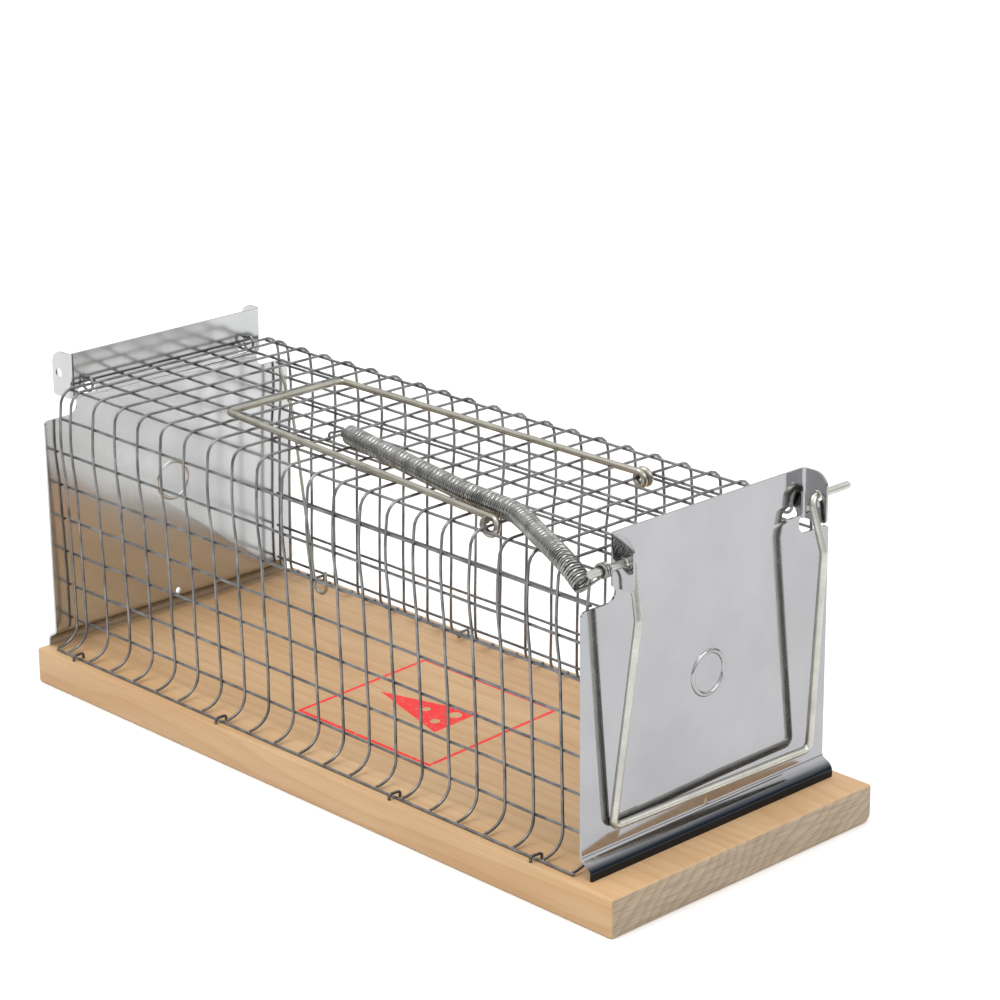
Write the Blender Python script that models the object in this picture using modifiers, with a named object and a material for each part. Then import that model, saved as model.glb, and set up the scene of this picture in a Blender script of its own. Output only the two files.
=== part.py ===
"""Live catch trap: a bent welded-mesh cage on a pine board, with hinged sheet doors,
a spring-closed bail, a lever frame and a bait hook.

Frame: +X runs along the trap to the front door, +Z is up, and the origin is the centre of
the board's underside. Lengths are in metres.
"""
import math

import bmesh
import bpy
from mathutils import Matrix, Vector

MM = 0.001
GAP = 0.3 * MM                      # left between two pieces that touch
FINE_WIRE = 0.8 * MM                # a wire of a smaller radius has fewer sides

# Board
BOARD = (288 * MM, 120 * MM, 13 * MM)
BOARD_EDGE = 1.2 * MM

# Welded mesh, one sheet bent over the board
PITCH = 12.7 * MM                   # half-inch mesh
STRUT = 1.2 * MM                    # the mesh wire, square here
CAGE_TOP = 108.5 * MM               # height of the top wires' centres
SIDE_Y = 49.3 * MM                  # half width between the side walls
TOP_BEND = 5.0 * MM
FLARE = 7.1 * MM                    # bottom bend, outwards onto the board
FIRST_CROSS_X = -130.1 * MM
CROSS_WIRES = 21
END_WIRE_X = -135.9 * MM            # the wire that the rear door hangs from
WIRES_PER_HALF = 12

# Doors: one stamping, used at both ends
SHEET = 1.0 * MM
DOOR_HALF = 55.5 * MM
STRIP_HALF = 43.3 * MM
SHOULDER_Z = 98.5 * MM
STRIP_TOP_Z = 120.5 * MM
NOTCH = 4.2 * MM
DOOR_BOTTOM_Z = 18.4 * MM
HINGE_OFFSET = 1.9 * MM             # hinge line to the door's back face
EAR_DEPTH = 9.0 * MM
EAR_BOTTOM_Z = 104.0 * MM
LIP_LENGTH = 7.6 * MM
LIP_ANGLE = math.radians(50)         # forward from straight down
RING_Y = 37.0 * MM
RING_R = 2.5 * MM
RING_WIRE_R = 0.5 * MM
PRESSED_RING_Z = 65 * MM
LIP_HOLE_Z = 23 * MM
INSET = 0.1 * MM                    # keeps joined faces from lying in one plane

# Closing bail
BAIL_R = 1.35 * MM
BAIL_FORWARD = 5.4 * MM             # trunnion line ahead of the door's outer face
BAIL_Z = 112.5 * MM
BAIL_TOP_HALF = 40.0 * MM
BAIL_BOTTOM_HALF = 43.5 * MM
BAIL_BOTTOM_Z = 26.5 * MM
BAIL_BOW = (136.5 * MM, 41.7 * MM, 95 * MM)     # where each leg is bent back to the door
BAIL_LIFT = 2.6 * MM                # how far the bottom bar's right end stands off
BAIL_END_Y = 57.8 * MM

# Lever frame and bait hook
LEVER_R = 1.2 * MM
LEVER_CROSS = 15                    # which cross wire its coils turn on, from the rear
LEVER_COIL_R = 2.45 * MM
LEVER_REAR_X = -70 * MM
LEVER_LEFT_REAR_Y = -27.8 * MM
LEVER_RIGHT_REAR_Y = 23.5 * MM
LEVER_LEFT_COIL_Y = -41.1 * MM
LEVER_RIGHT_COIL_Y = 25.4 * MM
HOOK_R = 0.6 * MM
HOOK_TILT = math.radians(9)
HOOK_LENGTH = 68 * MM

# Spring
SPRING_R = 3.1 * MM
SPRING_Z = CAGE_TOP + STRUT / 2 + SPRING_R + GAP
SPRING_ROUTE = ((-17, -19), (20, -26.6), (50, -32.2), (66, -33.8), (77, -35.0), (87, -39.0),
                (97, -44.0), (110, -49.9))

# Staples
STAPLE_X = (-124.0 * MM, -44.0 * MM, 43.5 * MM, 108.0 * MM)
STAPLE_R = 0.55 * MM

BOARD_TOP = BOARD[2]
FLARE_Z = BOARD_TOP + GAP + STRUT / 2
FRONT_WIRE_X = FIRST_CROSS_X + (CROSS_WIRES - 1) * PITCH
DOOR_FACE_X = FRONT_WIRE_X + HINGE_OFFSET + SHEET
BAIL_X = DOOR_FACE_X + BAIL_FORWARD


def clear_scene():
    for found in list(bpy.data.objects):
        bpy.data.objects.remove(found, do_unlink=True)


def make_collection(name):
    made = bpy.data.collections.new(name)
    bpy.context.scene.collection.children.link(made)
    return made


def make_material(name, colour, roughness, metallic):
    made = bpy.data.materials.new(name)
    made.use_nodes = True
    shader = made.node_tree.nodes["Principled BSDF"]
    shader.inputs["Base Color"].default_value = (*colour, 1.0)
    shader.inputs["Roughness"].default_value = roughness
    shader.inputs["Metallic"].default_value = metallic
    return made


def add_object(name, mesh, material, parent=None):
    """Puts a mesh in the trap's collection; its mesh is already in the trap's frame."""
    made = bpy.data.objects.new(name, mesh)
    mesh.materials.clear()
    mesh.materials.append(material)
    TRAP.objects.link(made)
    if parent is not None:
        mesh.transform(Matrix.Translation(-parent.location))
        made.parent = parent
    return made


def pivot(name, place):
    """An empty on a joint's axis, which the pieces of one moving body hang from."""
    made = bpy.data.objects.new(name, None)
    made.location = place
    made.empty_display_size = 0.01
    TRAP.objects.link(made)
    return made


def mesh_from_bmesh(name, bm, smooth=False):
    bmesh.ops.recalc_face_normals(bm, faces=bm.faces)
    mesh = bpy.data.meshes.new(name)
    bm.to_mesh(mesh)
    bm.free()
    if smooth:
        mesh.shade_smooth()
    return mesh


def mesh_from_curve(name, curve):
    """Evaluates a curve, welds its loose caps and gives a plain mesh."""
    holder = bpy.data.objects.new(name, curve)
    bpy.context.scene.collection.objects.link(holder)
    bpy.context.view_layer.update()
    evaluated = holder.evaluated_get(bpy.context.evaluated_depsgraph_get())
    mesh = bpy.data.meshes.new_from_object(evaluated)
    bpy.data.objects.remove(holder, do_unlink=True)
    bm = bmesh.new()
    bm.from_mesh(mesh)
    bpy.data.meshes.remove(mesh)
    bmesh.ops.remove_doubles(bm, verts=bm.verts, dist=1e-6)
    return mesh_from_bmesh(name, bm)


def wire_mesh(name, points, radius, closed=False):
    """A round wire along a run of points, with flat ends."""
    curve = bpy.data.curves.new(name, "CURVE")
    curve.dimensions = "3D"
    curve.bevel_depth = radius
    curve.bevel_resolution = 1 if radius < FINE_WIRE else 2
    curve.use_fill_caps = not closed
    spline = curve.splines.new("POLY")
    spline.points.add(len(points) - 1)
    for point, place in zip(spline.points, points):
        point.co = (*place, 1.0)
    spline.use_cyclic_u = closed
    mesh = mesh_from_curve(name, curve)
    mesh.shade_smooth()
    return mesh


def rounded(points, radius, steps=4):
    """The same run of points with each corner turned into a short arc."""
    points = [Vector(p) for p in points]
    run = [points[0]]
    for before, corner, after in zip(points, points[1:], points[2:]):
        back = (before - corner).normalized()
        ahead = (after - corner).normalized()
        half = back.angle(ahead) / 2
        reach = radius / math.tan(half)
        centre = corner + (back + ahead).normalized() * radius / math.sin(half)
        start = (corner + back * reach - centre).normalized()
        end = (corner + ahead * reach - centre).normalized()
        run += [centre + radius * start.slerp(end, i / steps) for i in range(steps + 1)]
    return run + [points[-1]]


def smooth_route(points, steps):
    """Points read from a smooth curve through a few hand-placed ones."""
    padded = [2 * points[0] - points[1], *points, 2 * points[-1] - points[-2]]
    run = []
    for a, b, c, d in zip(padded, padded[1:], padded[2:], padded[3:]):
        for i in range(steps):
            t = i / steps
            run.append(0.5 * (2 * b + (c - a) * t + (2 * a - 5 * b + 4 * c - d) * t * t
                              + (3 * b - a - 3 * c + d) * t ** 3))
    return run + [points[-1]]


def outline_mesh(name, outline, thickness, turn):
    """A flat outline, extruded to a thickness centred on it and turned into place."""
    curve = bpy.data.curves.new(name, "CURVE")
    curve.dimensions = "2D"
    curve.fill_mode = "BOTH"
    curve.extrude = thickness / 2
    spline = curve.splines.new("POLY")
    spline.points.add(len(outline) - 1)
    for point, (u, v) in zip(spline.points, outline):
        point.co = (u, v, 0.0, 1.0)
    spline.use_cyclic_u = True
    mesh = mesh_from_curve(name, curve)
    mesh.transform(turn)
    return mesh


def combine(name, base, others, operation):
    """Applies one exact Boolean after another and gives the resulting mesh."""
    body = bpy.data.objects.new(name, base)
    bpy.context.scene.collection.objects.link(body)
    for number, other in enumerate(others):
        cutter = bpy.data.objects.new(f"{name}_{operation.lower()}_{number}", other)
        cutter.hide_render = True
        cutter.display_type = "WIRE"
        CUTTERS.objects.link(cutter)
        change = body.modifiers.new(cutter.name, "BOOLEAN")
        change.operation = operation
        change.solver = "EXACT"
        change.object = cutter
    bpy.context.view_layer.update()
    evaluated = body.evaluated_get(bpy.context.evaluated_depsgraph_get())
    mesh = bpy.data.meshes.new_from_object(evaluated)
    bpy.data.objects.remove(body, do_unlink=True)
    mesh.name = name
    return mesh


def box_mesh(name, low, high, bevel=0.0):
    bm = bmesh.new()
    bmesh.ops.create_cube(bm, size=1.0)
    size = Vector(high) - Vector(low)
    bmesh.ops.scale(bm, vec=size, verts=bm.verts)
    bmesh.ops.translate(bm, vec=(Vector(high) + Vector(low)) / 2, verts=bm.verts)
    if bevel:
        bmesh.ops.bevel(bm, geom=bm.edges[:], offset=bevel, segments=2, profile=0.5,
                        affect="EDGES", material=-1)
    return mesh_from_bmesh(name, bm)


def rod_mesh(name, centre, radius, length, axis, sides=16):
    """A solid cylinder along X or Y, used for holes."""
    bm = bmesh.new()
    bmesh.ops.create_cone(bm, cap_ends=True, segments=sides, radius1=radius,
                          radius2=radius, depth=length)
    turn = Matrix.Rotation(math.pi / 2, 4, "X" if axis == "Y" else "Y")
    bmesh.ops.transform(bm, matrix=Matrix.Translation(centre) @ turn, verts=bm.verts)
    return mesh_from_bmesh(name, bm)


def ring_mesh(name, centre, ring_radius, wire_radius, axis, sides=16):
    """A closed wire ring whose axis is X or Y."""
    points = []
    for i in range(sides):
        angle = math.tau * i / sides
        u = ring_radius * math.cos(angle)
        v = ring_radius * math.sin(angle)
        points.append(Vector(centre) + Vector((u, 0, v) if axis == "Y" else (0, u, v)))
    return wire_mesh(name, points, wire_radius, closed=True)


# --- Board, mesh and staples -------------------------------------------------------------

def make_board():
    low = (-BOARD[0] / 2, -BOARD[1] / 2, 0)
    high = (BOARD[0] / 2, BOARD[1] / 2, BOARD[2])
    add_object("base_board", box_mesh("base_board", low, high, BOARD_EDGE), PINE)


def sheet_place(s):
    """Where the bent sheet is, s metres along its section from the middle of the top."""
    flat = SIDE_Y - TOP_BEND
    bend = TOP_BEND * math.pi / 2
    wall = CAGE_TOP - TOP_BEND - (FLARE_Z + FLARE)
    if s <= flat:
        return s, CAGE_TOP
    if s <= flat + bend:
        angle = (s - flat) / TOP_BEND
        return (flat + TOP_BEND * math.sin(angle),
                CAGE_TOP - TOP_BEND * (1 - math.cos(angle)))
    if s <= flat + bend + wall:
        return SIDE_Y, CAGE_TOP - TOP_BEND - (s - flat - bend)
    angle = min((s - flat - bend - wall) / FLARE, math.pi / 2)
    return SIDE_Y + FLARE * (1 - math.cos(angle)), FLARE_Z + FLARE * (1 - math.sin(angle))


def bend_stations(near, far):
    """Stations where a cross wire bends between two lengthwise wires."""
    flat = SIDE_Y - TOP_BEND
    last_wire = (WIRES_PER_HALF - 0.5) * PITCH
    bends = [flat + TOP_BEND * angle for angle in (0.7, 1.3)]
    bends += [last_wire - step * PITCH for step in (0.7, 0.4)]
    return [s for s in bends if near < s < far]


def make_lattice():
    """The whole bent sheet as a grid of struts."""
    xs = [END_WIRE_X] + [FIRST_CROSS_X + i * PITCH for i in range(CROSS_WIRES)]
    rows = 2 * WIRES_PER_HALF
    bm = bmesh.new()
    bmesh.ops.create_grid(bm, x_segments=len(xs) - 1, y_segments=rows - 1, size=0.5)
    station = {}
    for vert in bm.verts:
        column = round((vert.co.x + 0.5) * (len(xs) - 1))
        row = round((vert.co.y + 0.5) * (rows - 1))
        station[vert] = (row - (rows - 1) / 2) * PITCH
        y, z = sheet_place(abs(station[vert]))
        vert.co = (xs[column], math.copysign(y, station[vert]), z)
    for edge in [e for e in bm.edges if station[e.verts[0]] != station[e.verts[1]]]:
        inner, outer = sorted(edge.verts, key=lambda vert: abs(station[vert]))
        for s in bend_stations(abs(station[inner]), abs(station[outer])):
            edge, inner = bmesh.utils.edge_split(edge, inner, 0.5)
            edge = next(e for e in inner.link_edges if outer in e.verts)
            y, z = sheet_place(s)
            inner.co = (outer.co.x, math.copysign(y, outer.co.y), z)
    sheet = bpy.data.objects.new("cage_mesh", mesh_from_bmesh("cage_mesh", bm))
    bpy.context.scene.collection.objects.link(sheet)
    struts = sheet.modifiers.new("struts", "WIREFRAME")
    struts.thickness = STRUT
    struts.use_even_offset = True
    struts.use_boundary = True
    struts.use_replace = True
    bpy.context.view_layer.update()
    evaluated = sheet.evaluated_get(bpy.context.evaluated_depsgraph_get())
    mesh = bpy.data.meshes.new_from_object(evaluated)
    bpy.data.objects.remove(sheet, do_unlink=True)
    return mesh


def make_cage():
    """The sheet is one piece; it is kept here as its top and two sides."""
    lattice = make_lattice()
    cut_y = SIDE_Y - TOP_BEND + 2.0 * MM
    panels = {
        "cage_mesh_top": ((1, cut_y - GAP / 2), (-1, -cut_y + GAP / 2)),
        "cage_mesh_left": ((1, -cut_y - GAP / 2),),
        "cage_mesh_right": ((-1, cut_y + GAP / 2),),
    }
    for name, cuts in panels.items():
        bm = bmesh.new()
        bm.from_mesh(lattice)
        for side, y in cuts:
            bmesh.ops.bisect_plane(bm, geom=bm.verts[:] + bm.edges[:] + bm.faces[:],
                                   dist=1e-7, plane_co=(0, y, 0), plane_no=(0, side, 0),
                                   clear_outer=True)
        open_edges = [e for e in bm.edges if e.is_boundary]
        bmesh.ops.holes_fill(bm, edges=open_edges, sides=0)
        bmesh.ops.remove_doubles(bm, verts=bm.verts, dist=1e-6)
        add_object(name, mesh_from_bmesh(name, bm), MESH_WIRE)


def make_staples():
    edge_y, edge_z = sheet_place(WIRES_PER_HALF * PITCH)
    half = 2.2 * MM
    foot = BOARD_TOP + GAP
    crown = edge_z + STRUT / 2 + GAP + 2 * STAPLE_R
    for side, sign in (("left", -1), ("right", 1)):
        for number, x in enumerate(STAPLE_X, 1):
            name = f"staple_{side}_{number}"
            y = sign * edge_y
            run = rounded([(x, y - half, foot), (x, y - half, crown),
                           (x, y + half, crown), (x, y + half, foot)], 0.8 * MM, 2)
            add_object(name, wire_mesh(name, run, STAPLE_R), STAPLE_STEEL)


# --- Doors -------------------------------------------------------------------------------

def door_outline():
    """The stamping's outline, half by half, as (across, up)."""
    half = [(DOOR_HALF, DOOR_BOTTOM_Z), (DOOR_HALF, SHOULDER_Z),
            (STRIP_HALF + 1.4 * MM, SHOULDER_Z)]
    centre = (STRIP_HALF + 1.4 * MM, SHOULDER_Z + NOTCH)
    for i in range(1, 5):
        angle = -math.pi / 2 - i * math.pi / 8
        half.append((centre[0] + NOTCH * math.cos(angle), centre[1] + NOTCH * math.sin(angle)))
    half += [(centre[0] - NOTCH, EAR_BOTTOM_Z - NOTCH / 8), (STRIP_HALF, EAR_BOTTOM_Z),
             (STRIP_HALF, STRIP_TOP_Z)]
    return half + [(-u, v) for u, v in reversed(half)]


def ear_outline():
    """An ear seen from the side, as (forward, up), with its outer top corner rounded."""
    corner = 5 * MM
    far = DOOR_FACE_X + EAR_DEPTH
    top = STRIP_TOP_Z - INSET
    bottom = EAR_BOTTOM_Z + INSET
    centre = (far - corner, top - corner)
    near = DOOR_FACE_X - SHEET / 2
    run = [(near, top), (near, bottom), (far, bottom)]
    for i in range(5):
        angle = i * math.pi / 8
        run.append((centre[0] + corner * math.cos(angle), centre[1] + corner * math.sin(angle)))
    return run


def door_mesh(name):
    """The stamping at the front: plate, two ears, sloping lip, pressed ring and holes."""
    upright = Matrix(((0, 0, 1, DOOR_FACE_X - SHEET / 2), (1, 0, 0, 0), (0, 1, 0, 0), (0, 0, 0, 1)))
    plate = outline_mesh(name, door_outline(), SHEET, upright)
    joined = []
    for sign in (-1, 1):
        across = sign * (STRIP_HALF - SHEET / 2 - INSET)
        sideways = Matrix(((1, 0, 0, 0), (0, 0, -1, across), (0, 1, 0, 0), (0, 0, 0, 1)))
        joined.append(outline_mesh(f"{name}_ear", ear_outline(), SHEET, sideways))
    lip_half = DOOR_HALF - INSET
    lip = box_mesh(f"{name}_lip", (-SHEET / 2, -lip_half, -LIP_LENGTH),
                   (SHEET / 2, lip_half, SHEET / 2))
    swing = Matrix.Rotation(-LIP_ANGLE, 4, "Y")
    lip.transform(Matrix.Translation((DOOR_FACE_X - SHEET / 2, 0, DOOR_BOTTOM_Z + SHEET / 2)) @ swing)
    joined.append(lip)
    joined.append(ring_mesh(f"{name}_pressing", (DOOR_FACE_X, 0, PRESSED_RING_Z), 7 * MM, 0.8 * MM, "X"))
    plate = combine(name, plate, joined, "UNION")
    holes = [rod_mesh(f"{name}_hole", (DOOR_FACE_X, 0, LIP_HOLE_Z), 1.3 * MM, 6 * MM, "X")]
    for sign in (-1, 1):
        holes.append(rod_mesh(f"{name}_trunnion_hole", (BAIL_X, sign * STRIP_HALF, BAIL_Z),
                              BAIL_R + GAP, 6 * MM, "Y"))
        slot = Vector((DOOR_FACE_X - SHEET / 2, sign * RING_Y, CAGE_TOP))
        reach = Vector((2 * SHEET, RING_WIRE_R + GAP, RING_R + RING_WIRE_R + GAP))
        holes.append(box_mesh(f"{name}_ring_slot", slot - reach, slot + reach))
    return combine(name, plate, holes, "DIFFERENCE")


def make_door(name, parent, at_rear):
    """A door on its two rings. The rear one is the same stamping turned round."""
    plate = door_mesh(name)
    rings = [ring_mesh(f"{name}_ring_{side}", (FRONT_WIRE_X, sign * RING_Y, CAGE_TOP),
                       RING_R, RING_WIRE_R, "Y")
             for side, sign in (("left", -1), ("right", 1))]
    if at_rear:
        turn = Matrix.Rotation(math.pi, 4, "Z")
        turn = Matrix.Translation((END_WIRE_X + FRONT_WIRE_X, 0, 0)) @ turn
        plate.transform(turn)
        rings = rings[::-1]
        for ring in rings:
            ring.transform(turn)
    add_object(name, plate, SHEET_STEEL, parent)
    for side, ring in zip(("left", "right"), rings):
        add_object(f"{name}_ring_{side}", ring, MESH_WIRE, parent)


# --- Bail, spring, lever frame and bait hook ---------------------------------------------

def make_bail(parent):
    leg_x = DOOR_FACE_X + BAIL_R + GAP
    bow_x, bow_y, bow_z = BAIL_BOW
    run = rounded([(BAIL_X, -BAIL_END_Y, BAIL_Z), (BAIL_X, -BAIL_TOP_HALF, BAIL_Z),
                   (bow_x, -bow_y, bow_z), (leg_x, -BAIL_BOTTOM_HALF, BAIL_BOTTOM_Z),
                   (leg_x + BAIL_LIFT, BAIL_BOTTOM_HALF, BAIL_BOTTOM_Z), (bow_x, bow_y, bow_z),
                   (BAIL_X, BAIL_TOP_HALF, BAIL_Z), (BAIL_X, BAIL_END_Y, BAIL_Z)], 2.6 * MM)
    add_object("closing_bail", wire_mesh("closing_bail", run, BAIL_R), BRIGHT_WIRE, parent)
    coil = combine("spring_end_coil",
                   rod_mesh("spring_end_coil", (BAIL_X, -50.5 * MM, BAIL_Z), SPRING_R, 9 * MM, "Y"),
                   [rod_mesh("spring_end_bore", (BAIL_X, -50.5 * MM, BAIL_Z), BAIL_R + GAP,
                             12 * MM, "Y")], "DIFFERENCE")
    add_object("spring_end_coil", coil, SPRING_STEEL, parent)


def make_spring():
    route = [Vector((x * MM, y * MM, SPRING_Z)) for x, y in SPRING_ROUTE]
    run = smooth_route(route, 4)
    add_object("bail_spring", wire_mesh("bail_spring", run, SPRING_R), SPRING_STEEL)
    hook_y = route[0].y + 2.6 * MM
    held_x = FIRST_CROSS_X + 8 * PITCH
    curl = 1.6 * MM
    hook = [route[0] + Vector((-GAP, 0.2 * MM, 0)),
            Vector((held_x + 5 * MM, hook_y, SPRING_Z - 1 * MM))]
    for i in range(8):
        angle = math.pi / 2 + i * math.pi / 6
        hook.append(Vector((held_x + curl * math.cos(angle), hook_y,
                            CAGE_TOP + curl * math.sin(angle))))
    add_object("spring_rear_hook", wire_mesh("spring_rear_hook", hook, 0.5 * MM), SPRING_STEEL)


def coil_points(axis_x, start_y, step_y, turns, steps=12):
    """A coil round a cross wire, starting over the top and going forward and down."""
    run = []
    for i in range(round(turns * steps) + 1):
        angle = math.tau * i / steps
        run.append(Vector((axis_x + LEVER_COIL_R * math.sin(angle), start_y + step_y * i / steps,
                           CAGE_TOP + LEVER_COIL_R * math.cos(angle))))
    return run


def make_lever(parent, axis_x):
    z = CAGE_TOP + LEVER_COIL_R
    turn_step = 2 * LEVER_R + 0.2 * MM
    left = coil_points(axis_x, LEVER_LEFT_COIL_Y + turn_step / 2, -turn_step, 1)
    right = coil_points(axis_x, LEVER_RIGHT_COIL_Y - turn_step / 2, turn_step, 1.6)
    corners = rounded([left[0], (LEVER_REAR_X, LEVER_LEFT_REAR_Y, z),
                       (LEVER_REAR_X, LEVER_RIGHT_REAR_Y, z), right[0]], 3 * MM)
    run = left[::-1] + corners[1:-1] + right
    add_object("trigger_frame", wire_mesh("trigger_frame", run, LEVER_R), BRIGHT_WIRE, parent)


def make_hook(parent):
    """A loop round the frame's rear bar, a tail above it and a long shank with a bait point."""
    bar = Vector((LEVER_REAR_X, 0, CAGE_TOP + LEVER_COIL_R))
    down = Vector((math.sin(HOOK_TILT), 0, -math.cos(HOOK_TILT)))
    ahead = Vector((math.cos(HOOK_TILT), 0, math.sin(HOOK_TILT)))
    loop = LEVER_R + HOOK_R + GAP
    run = [bar - down * 9 * MM - ahead * (loop + 1.5 * MM), bar - down * 3 * MM - ahead * loop]
    run += [bar - ahead * loop * math.cos(a) + down * loop * math.sin(a)
            for a in (0.0, math.pi / 4)]
    run += [bar + down * 4 * MM, bar + down * HOOK_LENGTH]
    run += [run[-1] + down * 3 * MM * math.sin(a) + ahead * 3 * MM * (1 - math.cos(a))
            for a in (0.7, 1.4, 2.1, 2.8)]
    run.append(run[-1] - down * 6 * MM + ahead * 0.6 * MM)
    add_object("bait_hook", wire_mesh("bait_hook", run, HOOK_R), BRIGHT_WIRE, parent)


clear_scene()
TRAP = make_collection("live_catch_trap")
CUTTERS = make_collection("cutters")
CUTTERS.hide_render = True
PINE = make_material("pine", (0.73, 0.48, 0.26), 0.6, 0.0)
MESH_WIRE = make_material("galvanised_wire", (0.30, 0.31, 0.31), 0.35, 1.0)
SHEET_STEEL = make_material("galvanised_sheet", (0.62, 0.63, 0.65), 0.18, 1.0)
BRIGHT_WIRE = make_material("bright_wire", (0.55, 0.53, 0.46), 0.3, 1.0)
SPRING_STEEL = make_material("spring_steel", (0.45, 0.45, 0.43), 0.25, 1.0)
STAPLE_STEEL = make_material("staple_steel", (0.25, 0.25, 0.25), 0.4, 1.0)

LEVER_X = FIRST_CROSS_X + (LEVER_CROSS + 1) * PITCH
front_hinge = pivot("front_hinge", (FRONT_WIRE_X, 0, CAGE_TOP))
rear_hinge = pivot("rear_hinge", (END_WIRE_X, 0, CAGE_TOP))
bail_pivot = pivot("bail_pivot", (BAIL_X, 0, BAIL_Z))
lever_pivot = pivot("lever_pivot", (LEVER_X, 0, CAGE_TOP))
hook_pivot = pivot("hook_pivot", (LEVER_REAR_X, 0, CAGE_TOP + LEVER_COIL_R))

make_board()
make_cage()
make_staples()
make_door("front_door", front_hinge, at_rear=False)
make_door("rear_door", rear_hinge, at_rear=True)
make_bail(bail_pivot)
make_spring()
make_lever(lever_pivot, LEVER_X)
make_hook(hook_pivot)
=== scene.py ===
"""The looks of a live catch trap: a bent welded-mesh cage stapled to a pine board, with a
sheet-metal door at each end, a sprung bail, a release frame and a bait hook.

Lengths are in metres, in the trap's own frame: +X along the board to the sprung door, +Z up.
"""

import math

import bmesh
import bpy
from mathutils import Matrix, Vector, noise


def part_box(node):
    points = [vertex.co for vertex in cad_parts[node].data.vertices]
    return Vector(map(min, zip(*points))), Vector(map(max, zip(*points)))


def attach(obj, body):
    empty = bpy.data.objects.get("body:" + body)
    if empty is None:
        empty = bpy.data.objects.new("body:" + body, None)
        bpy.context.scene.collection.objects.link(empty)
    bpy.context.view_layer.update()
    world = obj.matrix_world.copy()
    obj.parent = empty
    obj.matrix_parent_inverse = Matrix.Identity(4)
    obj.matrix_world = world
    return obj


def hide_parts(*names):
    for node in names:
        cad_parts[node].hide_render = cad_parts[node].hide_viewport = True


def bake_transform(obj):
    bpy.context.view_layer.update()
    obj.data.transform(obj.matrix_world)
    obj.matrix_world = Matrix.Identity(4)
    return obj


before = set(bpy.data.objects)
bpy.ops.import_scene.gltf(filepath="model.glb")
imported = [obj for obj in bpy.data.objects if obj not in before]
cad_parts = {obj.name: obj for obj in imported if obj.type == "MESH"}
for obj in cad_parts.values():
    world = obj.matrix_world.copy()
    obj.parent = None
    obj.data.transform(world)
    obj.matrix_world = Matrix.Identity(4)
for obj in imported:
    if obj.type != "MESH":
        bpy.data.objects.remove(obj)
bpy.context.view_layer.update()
noise.seed_set(7)                    # the wires wander the same way each time

MM = 0.001
BOARD_LOW, BOARD_HIGH = (Vector(corner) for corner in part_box("base_board"))
BOARD_TOP = BOARD_HIGH.z
MESH_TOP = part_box("cage_mesh_top")[1][2]

# Welded mesh
PITCH = 12.7 * MM
WIRE_R = 0.5 * MM
CAGE_TOP = MESH_TOP - 0.6 * MM       # the sheet's own middle
SIDE_Y = 49.3 * MM
TOP_BEND = 5.0 * MM
FLARE = 7.1 * MM
FLARE_Z = BOARD_TOP + 0.9 * MM
OVER = 0.3 * MM                      # cross wires lie this far outside the middle
UNDER = -0.5 * MM                    # and lengthwise wires this far inside it
WAVER = 0.35 * MM                    # how far a wire strays from its line
BULGE = 0.9 * MM                     # outwards, under the top bend
DRAW_IN = 1.8 * MM                   # inwards, above the flare
FIRST_CROSS_X = -130.1 * MM
CROSS_WIRES = 21
FRONT_WIRE_X = FIRST_CROSS_X + (CROSS_WIRES - 1) * PITCH
END_WIRE_X = -135.9 * MM
WIRES_PER_HALF = 12
BEAD_R = WIRE_R * 1.12               # a weld, where two wires meet

# Doors: one stamping, used at both ends
SHEET = 0.8 * MM
DOOR_X = 126.35 * MM                 # the middle of the sheet
DOOR_HALF = 55.4 * MM
SHOULDER_Z = 98.5 * MM
STRIP_TOP_Z = 120.4 * MM
EAR_FOLD_Y = 41.6 * MM
EAR_FOLD_R = 1.2 * MM
EAR_FLAP = 10.1 * MM                 # from the fold's start to the ear's edge, laid flat
EAR_BOTTOM_Z = 104.0 * MM
NOTCH_Y = 44.4 * MM
NOTCH_R = 3.4 * MM
LIP_FOLD_Z = 20.2 * MM
LIP_FLAP = 9.6 * MM
WINDOW_Y = 36.5 * MM
WINDOW_Z = 104.8 * MM
WINDOW_R = 4.3 * MM
PRESSING_Z = 64 * MM
PRESSING_R = 7 * MM
PRESSING_BEAD_R = 0.9 * MM
HANGING_RING_R = 2.5 * MM            # to the middle of its wire
HANGING_RING_Y = 36.6 * MM
HANGING_RING_LAP = 1.2 * MM          # sideways, from one end of its wire to the other

# Bail, release frame, hook and spring
BAIL_R = 1.3 * MM
BAIL_X = 132.2 * MM
BAIL_Z = 112.5 * MM
BAIL_TOP_HALF = 40.0 * MM
BAIL_BOTTOM_HALF = 43.5 * MM
BAIL_BOTTOM_Z = 26.5 * MM
BAIL_BOW = (136.5 * MM, 41.7 * MM, 95 * MM)     # where each leg is bent back to the door
BAIL_LEFT_X = 128.3 * MM
BAIL_RIGHT_X = 131.0 * MM            # the bottom bar's right end stands off the door
BAIL_END_Y = 57.6 * MM
FRAME_R = 1.15 * MM
FRAME_COIL_R = 2.45 * MM
FRAME_X = FIRST_CROSS_X + 16 * PITCH
FRAME_REAR_X = -70 * MM
FRAME_REAR_LEFT_Y = -27.8 * MM
FRAME_REAR_RIGHT_Y = 23.5 * MM
FRAME_LEFT_COIL_Y = -39.8 * MM
FRAME_RIGHT_COIL_Y = 24.1 * MM
HOOK_R = 0.55 * MM
HOOK_TILT = math.radians(9)
HOOK_LENGTH = 68 * MM
SPRING_WIRE_R = 0.42 * MM
SPRING_R = 2.95 * MM                 # to the middle of its wire
SPRING_PITCH = 1.0 * MM
SPRING_ROUTE = ((-17, -19, 112.7), (20, -26.6, 113), (50, -32.2, 113), (66, -33.8, 113),
                (77, -35.0, 113), (87, -39.0, 113), (97, -44.0, 113), (110, -49.9, 112.6),
                (120, -53.2, 110.4), (126.5, -54.6, 107.2))
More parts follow.
